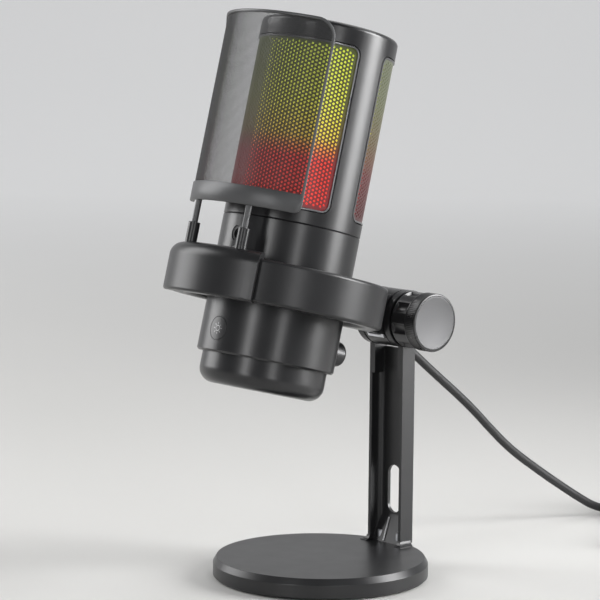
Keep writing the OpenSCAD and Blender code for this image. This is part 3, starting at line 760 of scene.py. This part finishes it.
class CellTest:
    """Tells whether a flat point lies in one of the six-sided cells, given their centres."""

    def __init__(self, centres, reach):
        self.reach = reach
        self.size = 2.0
        self.cells = {}
        for centre in centres:
            key = (int(centre[0] // self.size), int(centre[1] // self.size))
            self.cells.setdefault(key, []).append(centre)

    def covers(self, u, s):
        """Whether any cell near the point holds it."""
        column, row = int(u // self.size), int(s // self.size)
        for i in (-1, 0, 1):
            for j in (-1, 0, 1):
                for middle in self.cells.get((column + i, row + j), ()):
                    if self.in_cell(u - middle[0], s - middle[1]):
                        return True
        return False

    def in_cell(self, du, ds):
        """Whether a point this far from a cell's centre lies within its six sides."""
        flat = self.reach * math.sqrt(3) / 2
        return all(du * math.cos(math.radians(a)) + ds * math.sin(math.radians(a)) < flat + 0.002
                   for a in (30, 90, 150, 210, 270, 330))


def make_grilles():
    """The perforated steel in each window, with real holes."""
    inset = 1.3
    pitch, hole = 1.75, 0.54
    outside, inside = GRILLE_R + 0.35, GRILLE_R - 0.15
    half = (math.radians(WINDOW_AZ) - inset / MIC_R) * GRILLE_R
    flat, faces, holes, edge = perforated(half, WINDOW_S[0] + inset, WINDOW_S[1] - inset,
                                          WINDOW_CORNER - inset, pitch, hole)
    count = len(flat)
    both = list(faces) + [tuple(count + k for k in reversed(face)) for face in faces]
    for loop in holes:
        for a, b in zip(loop, loop[1:] + loop[:1]):
            both.append((a, b, b + count, a + count))
    for a, b in zip(edge, edge[1:] + edge[:1]):
        both.append((b, a, a + count, b + count))
    for azimuth, node in ((0, "front_grille"), (180, "back_grille")):
        points = wrap(flat, outside, GRILLE_R, azimuth) + wrap(flat, inside, GRILLE_R, azimuth)
        piece = mesh_piece(node + "_sheet", points, both, MIC)
        finish_piece(piece, "microphone", "grille_metal", sharp=40, oriented=True)
        if azimuth:
            # The rear grille's painted glow is dimmer and greyer, also painting the sheen of its metal
            # at a grazing angle.
            piece.data.materials[0] = grille_material("grille_metal_rear_painted_sheen", REAR_PAINTED_GLOW_AND_SHEEN, 0.75)
        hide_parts(node)


# ---- The pop filter ----

def make_filter_frame():
    """The curved frame: thin at its sides and top, with a deep band at its foot."""
    half = math.radians(FILTER_AZ) * FILTER_R
    side = 1.25
    low_corner, high_corner = 3.5, 8.5
    rounding = 0.25
    outer = [(0.0, FILTER_IN + 0.05), (0.0, FILTER_OUT - rounding), (rounding, FILTER_OUT),
             (rounding, FILTER_IN)]
    inner = [(0.2, FILTER_OUT), (0.0, FILTER_OUT - 0.2), (0.0, FILTER_IN + 0.2), (0.2, FILTER_IN)]
    rims = [wrap(outline(half, *FILTER_S, low_corner, high_corner, inset, across=40), radius,
                 FILTER_R) for inset, radius in outer]
    openings = [wrap(outline(half - side, FILTER_S[0] + FILTER_BAND, FILTER_S[1] - side, 1.2,
                             GAUZE_CORNER, -inset, across=40), radius, FILTER_R)
                for inset, radius in inner]
    loops = rims[:-1] + openings + rims[-1:]
    piece = mesh_piece("filter_frame_band", *rings(loops, closed_path=True), MIC)
    finish_piece(piece, "pop_filter", "filter_frame", sharp=50)
    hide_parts("filter_frame")
    make_filter_bosses()


def make_filter_bosses():
    """The two short collars on the frame's foot that its rods go into."""
    rod_azimuth = 22
    for azimuth, name in ((-rod_azimuth, "left"), (rod_azimuth, "right")):
        place = MIC @ Matrix.Rotation(math.radians(azimuth), 4, "Z")
        place = place @ Matrix.Translation((0, -(FILTER_R - 1.1), 0))
        low, high = FILTER_S[0] + 0.3, FILTER_S[0] + 7.4
        profile = [(1.36, low), (1.6, low), (1.8, low + 0.3), (1.8, high - 0.5), (1.5, high),
                   (1.36, high)]
        boss = mesh_piece("filter_boss_" + name, *lathe(profile, 32), place)
        finish_piece(boss, "pop_filter", "filter_frame")


def strand(points, radius):
    """A thin square wire along a flat route, as the four corner points at each of its points."""
    loops = []
    for k, point in enumerate(points):
        ahead = Vector(points[min(k + 1, len(points) - 1)])
        behind = Vector(points[max(k - 1, 0)])
        along = (ahead - behind).normalized()
        side = along.cross(Vector((point[0], point[1], 0)).normalized()).normalized()
        out = side.cross(along)
        loops.append([Vector(point) + radius * (side * a + out * b)
                      for a, b in ((1, 0), (0, 1), (-1, 0), (0, -1))])
    return rings(loops)


def make_gauze():
    """The filter's wire gauze: upright wires behind level ones."""
    pitch = 0.46
    wire = 0.085
    half = math.radians(FILTER_AZ) * FILTER_R - 1.1
    low, high = FILTER_S[0] + FILTER_BAND - 0.1, FILTER_S[1] - 1.1
    layer = 0.12
    points, faces = [], []

    def add(route):
        """Adds one wire along a route."""
        more, skin = strand(route, wire)
        start = len(points)
        points.extend(more)
        faces.extend(tuple(start + k for k in face) for face in skin)

    def cut(distance):
        """How much shorter a wire is at this distance from the panel's end."""
        if distance >= GAUZE_CORNER:
            return 0.0
        return GAUZE_CORNER - math.sqrt(max(GAUZE_CORNER ** 2 - (GAUZE_CORNER - distance) ** 2, 0))

    for k in range(1, int((high - low) / pitch)):
        s = low + k * pitch
        reach = half - cut(high - s)
        route = [(-reach + 2 * reach * i / 26, s) for i in range(27)]
        add(wrap(route, FILTER_R + layer, FILTER_R))
    for k in range(1, int(2 * half / pitch)):
        u = -half + k * pitch
        top = high - cut(half - abs(u))
        add(wrap([(u, low), (u, top)], FILTER_R - layer, FILTER_R))
    piece = mesh_piece("filter_gauze_wires", points, faces, MIC)
    finish_piece(piece, "pop_filter", "filter_gauze", sharp=60, oriented=True)
    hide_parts("filter_mesh")


# ---- The tilt knob ----

def flute_radius(angle, grip):
    """Radius of the grip at an angle, cut by eight round flutes."""
    pitch = math.radians(45)
    first = math.radians(12)
    offset = (angle - first + pitch / 2) % pitch - pitch / 2
    away, hollow = BARREL_R + 1.6, 3.4
    if abs(away * math.sin(offset)) >= hollow:
        return grip
    cut = away * math.cos(offset) - math.sqrt(hollow ** 2 - (away * math.sin(offset)) ** 2)
    return min(grip, cut)


def make_knob():
    """The knob: a fluted grip, and a skirt with fine lines round a bright disc."""
    sides = 384
    grip = BARREL_R - 0.4
    skirt = BARREL_R
    # Each station: place along X, radius, share of the flutes' depth, depth of the fine lines
    stations = [
        (11.5, 4.6, 0, 0), (11.5, grip - 0.7, 0, 0), (11.65, grip - 0.25, 0, 0), (12.0, grip, 0, 0),
        (12.5, grip, 0, 0), (12.7, grip, 0.5, 0), (13.0, grip, 0.9, 0), (13.4, grip, 1, 0),
        (19.5, grip, 1, 0), (19.9, grip, 0.8, 0), (20.15, grip, 0.35, 0), (20.3, grip, 0, 0),
        (20.6, skirt - 0.1, 0, 0), (20.9, skirt, 0, 0), (21.2, skirt, 0, 0), (21.3, skirt, 0, 0.14),
        (26.2, skirt, 0, 0.14), (26.35, skirt, 0, 0), (26.6, skirt - 0.08, 0, 0),
        (26.8, skirt - 0.35, 0, 0), (26.8, 12.15, 0, 0), (26.65, 12.02, 0, 0), (26.2, 12.0, 0, 0),
        (26.2, 6.0, 0, 0),
    ]
    loops = []
    for x, radius, share, lines in stations:
        loop = []
        for k in range(sides):
            a = 2 * math.pi * k / sides
            r = radius - share * (grip - flute_radius(a, grip)) if share else radius
            r -= lines * (1, 1, 0.15, 0.15)[k % 4]
            loop.append((x, -r * math.sin(a), r * math.cos(a)))
        loops.append(loop)
    piece = mesh_piece("tilt_knob_grip", *rings(loops), HINGE_AXES)
    finish_piece(piece, "knob", "part_black", sharp=38)
    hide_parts("tilt_knob")
    turn = HINGE_AXES @ Matrix.Rotation(math.radians(90), 4, "Y")
    profile = [(11.9, 26.22), (11.95, 26.6), (11.85, 26.74), (11.6, 26.79), (11.3, 26.76),
               (11.15, 26.7)]
    disc = mesh_piece("knob_face_disc", *lathe(profile, 160, closed=False), turn)
    finish_piece(disc, "knob", "knob_disc", sharp=60)
    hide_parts("knob_face")


# ---- Small marks on the body ----

def plate(name, shape, low, high, body):
    """A thin raised mark: a flat polygon in (arc length, height), bent onto the body's front."""
    loops = [wrap(shape, low, MIC_R), wrap(shape, high, MIC_R)]
    piece = mesh_piece(name, *rings(loops), MIC)
    finish_piece(piece, body, "window_rim", sharp=40)


def bar(start, end, width):
    """A flat bar between two points."""
    a, b = Vector(start), Vector(end)
    side = (b - a).orthogonal().normalized() * width / 2
    return [tuple(a + side), tuple(b + side), tuple(b - side), tuple(a - side)]


def band(center, radius, width, start, end, count):
    """A flat arc-shaped band."""
    outer = arc(center, radius + width / 2, start, end, count)
    inner = arc(center, radius - width / 2, end, start, count)
    return outer + inner


def make_marks():
    """A plain light symbol on the button and a headset symbol under the socket."""
    low, high = MIC_R + 0.02, MIC_R + 0.12
    for k, (start, end) in enumerate(((4, 176), (184, 356))):
        shape = band((0, BUTTON_S), 1.15, 0.32, start, end, 14)
        plate(f"button_symbol_ring_{k}", shape, low, high, "button")
    near, far = 1.75, 2.55
    for k in range(8):
        a = math.radians(45 * k)
        ray = bar((near * math.cos(a), BUTTON_S + near * math.sin(a)),
                  (far * math.cos(a), BUTTON_S + far * math.sin(a)), 0.34)
        plate(f"button_symbol_ray_{k}", ray, low, high, "button")
    symbol_s = 12.4
    low, high = MIC_R - 0.05, MIC_R + 0.06
    shape = band((0, symbol_s), 1.1, 0.3, 0, 180, 12)
    plate("socket_symbol_band", shape, low, high, "microphone")
    for side, name in ((-1.1, "left"), (1.1, "right")):
        pad = bar((side, symbol_s), (side, symbol_s - 1.0), 0.55)
        plate("socket_symbol_pad_" + name, pad, low, high, "microphone")


def make_button_seal():
    """The soft ring that closes the gap round the front button."""
    section = [(5.02, 28.8), (5.02, 29.86), (5.14, 29.9), (5.26, 29.86), (5.26, 28.8)]
    turns = [math.radians(5 * k) for k in range(72)]
    loops = [wrap([(r * math.cos(a), BUTTON_S + r * math.sin(a)) for a in turns], radius, MIC_R)
             for r, radius in section]
    seal = mesh_piece("button_seal", *rings(loops, closed_path=True), MIC)
    finish_piece(seal, "microphone", "shell_black", sharp=50)


def make_ramp_highlight_rib():
    """A fine raised rib down the ramp between the post's flanges, from foot to top as (y, z); its light
    finish is a painted highlight, the bright line down the ramp.
    """
    across = -2.2
    foot, top = (40.75, 10.2), (44.2, 20.6)
    along = (Vector((0, *top)) - Vector((0, *foot))).normalized()
    out = Vector((0, -along.z, along.y))
    section = [(-0.45, -0.3), (0.45, -0.3), (0.45, 0.3), (0.3, 0.42), (-0.3, 0.42), (-0.45, 0.3)]
    loops = []
    for y, z in (foot, top):
        loops.append([Vector((across, y, z)) + Vector((1, 0, 0)) * a + out * b
                      for a, b in section])
    rib = mesh_piece("ramp_highlight_rib", *rings(loops), WORLD)
    # The light window_rim finish is a painted highlight for the bright line down the ramp.
    finish_piece(rib, "base", "window_rim", sharp=40)


# ---- The cords ----

# The cord's route, the same as the CAD's: the drop and the tail in the shared frame, and the neck
# along the microphone's own axes from the hinge
CORD_DROP = [
    (-18.4, 44.5, 111.7), (-18, 52, 107), (-17.5, 62, 100), (-17, 72, 92), (-16.5, 82, 84),
    (-16, 93, 75.5), (-15.5, 102, 68.5), (-15, 111, 61), (-14.5, 121, 52), (-14, 131.5, 43),
    (-13.5, 141, 36), (-13, 151, 29.5), (-12.5, 161, 23.2), (-12, 172, 16.6), (-11.5, 183, 10.2),
    (-11.2, 192, 5.6), (-11.2, 200, 3), (-11.6, 208, 2.1), (-12, 217, 2.1),
]
CORD_NECK = [
    (-20.7, -26.2, 14.5), (-22.3, -22.8, 14.5), (-23.3, -20.6, 14.3), (-23.9, -18.2, 13.2),
    (-23.8, -15.6, 11.2), (-23.1, -13, 8.7), (-22.1, -10.4, 6.2), (-21, -7.8, 4), (-19.9, -5.2, 2.3),
    (-19, -2.6, 0.9), (-18.5, 0, 0),
]
CORD_TAIL = [
    (42.5, 225, 2), (44, 218, 2.2), (46.8, 211, 2.8), (49.6, 205, 3.6), (51, 199, 4),
    (51, 196, 4),
]
COIL_AT = (15, 226)
# The places of the turns in the coil's section, each a radius and a height, in winding order
COIL_CELLS = [
    (27, 2.1), (23, 2.1), (19, 2.1), (19, 6.1), (19, 10.1), (19, 14), (23, 14), (23, 10.1),
    (23, 6.1), (27, 6.1), (27, 2.1),
]
COIL_EXIT = 180 + 360 * 8
COIL_STEP = 15


def coil_changes():
    """Where, in degrees wound, the cord leaves each cell of the section for the next one.

    A change comes sooner where the winding turns a corner, so that neighbouring turns nest."""
    first, sooner = 60, 56
    changes = [first]
    for k in range(1, len(COIL_CELLS) - 1):
        before = Vector(COIL_CELLS[k]) - Vector(COIL_CELLS[k - 1])
        after = Vector(COIL_CELLS[k + 1]) - Vector(COIL_CELLS[k])
        turns_corner = abs(before.dot(after)) < 1
        changes.append(changes[-1] + 360 - (sooner if turns_corner else 0))
    return changes


def coil_points():
    """The centreline of the coil, from its left side round to its right side."""
    changes = coil_changes()
    half = 22
    points = []
    wound = 0
    while wound <= COIL_EXIT:
        radius, height = COIL_CELLS[0]
        for k, change in enumerate(changes):
            t = min(max((wound - change + half) / (2 * half), 0), 1)
            t = t * t * (3 - 2 * t)
            radius += t * (COIL_CELLS[k + 1][0] - COIL_CELLS[k][0])
            height += t * (COIL_CELLS[k + 1][1] - COIL_CELLS[k][1])
        turn = math.radians(wound)
        points.append((COIL_AT[0] - radius * math.cos(turn), COIL_AT[1] + radius * math.sin(turn),
                       height))
        wound += COIL_STEP
    return points


def cord_curve(name, points, place):
    """A smooth round cord through points in mm."""
    data = bpy.data.curves.new(name, "CURVE")
    data.dimensions = "3D"
    data.bevel_depth = CORD_D / 2 * MM
    data.bevel_resolution = 5
    data.resolution_u = 5
    data.use_fill_caps = True
    line = data.splines.new("BEZIER")
    line.bezier_points.add(len(points) - 1)
    for point, handle in zip(points, line.bezier_points):
        handle.co = (place @ Vector(point)) * MM
        handle.handle_left_type = "AUTO"
        handle.handle_right_type = "AUTO"
    cord = bpy.data.objects.new(name, data)
    bpy.context.scene.collection.objects.link(cord)
    data.materials.append(FINISHES["cord_jacket"])
    return cord


def make_cords():
    """The neck that rides with the microphone, and the main cord with its coil, which runs to the plug.
    """
    place = Matrix.Translation(HINGE - MIC.translation) @ MIC
    neck = cord_curve("cord_to_hinge", CORD_NECK, place)
    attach(neck, "microphone")
    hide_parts("cord_neck")
    route = CORD_DROP + coil_points() + CORD_TAIL
    main = cord_curve("cord_main", route, WORLD)
    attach(main, "base")
    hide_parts("cord_drop", "cord_coil", "cord_tail")


# ---- Building the scene ----

# CAD parts that are shown with rounded edges, and the width of their bevels
SOFT_EDGES = {
    "post": 0.35, "base_shell": 0.35, "cradle_ring": 0.3, "filter_clip": 0.3, "lower_body": 0.2,
    "bottom_cap": 0.15, "hinge_cap": 0.4, "rod_sleeves": 0.2, "front_button": 0.15,
    "gain_knob": 0.2, "usb_plug": 0.6, "plug_body": 1.2, "plug_shell": 0.2, "cord_tie": 0.2,
}


FINISHES = make_materials()
dress_nodes(FINISHES)
make_camera()
make_studio()
make_cords()
make_shell()
make_rims()
make_grilles()
make_filter_frame()
make_gauze()
make_knob()
make_marks()
make_button_seal()
make_ramp_highlight_rib()
for name, width in SOFT_EDGES.items():
    softened(name, width)
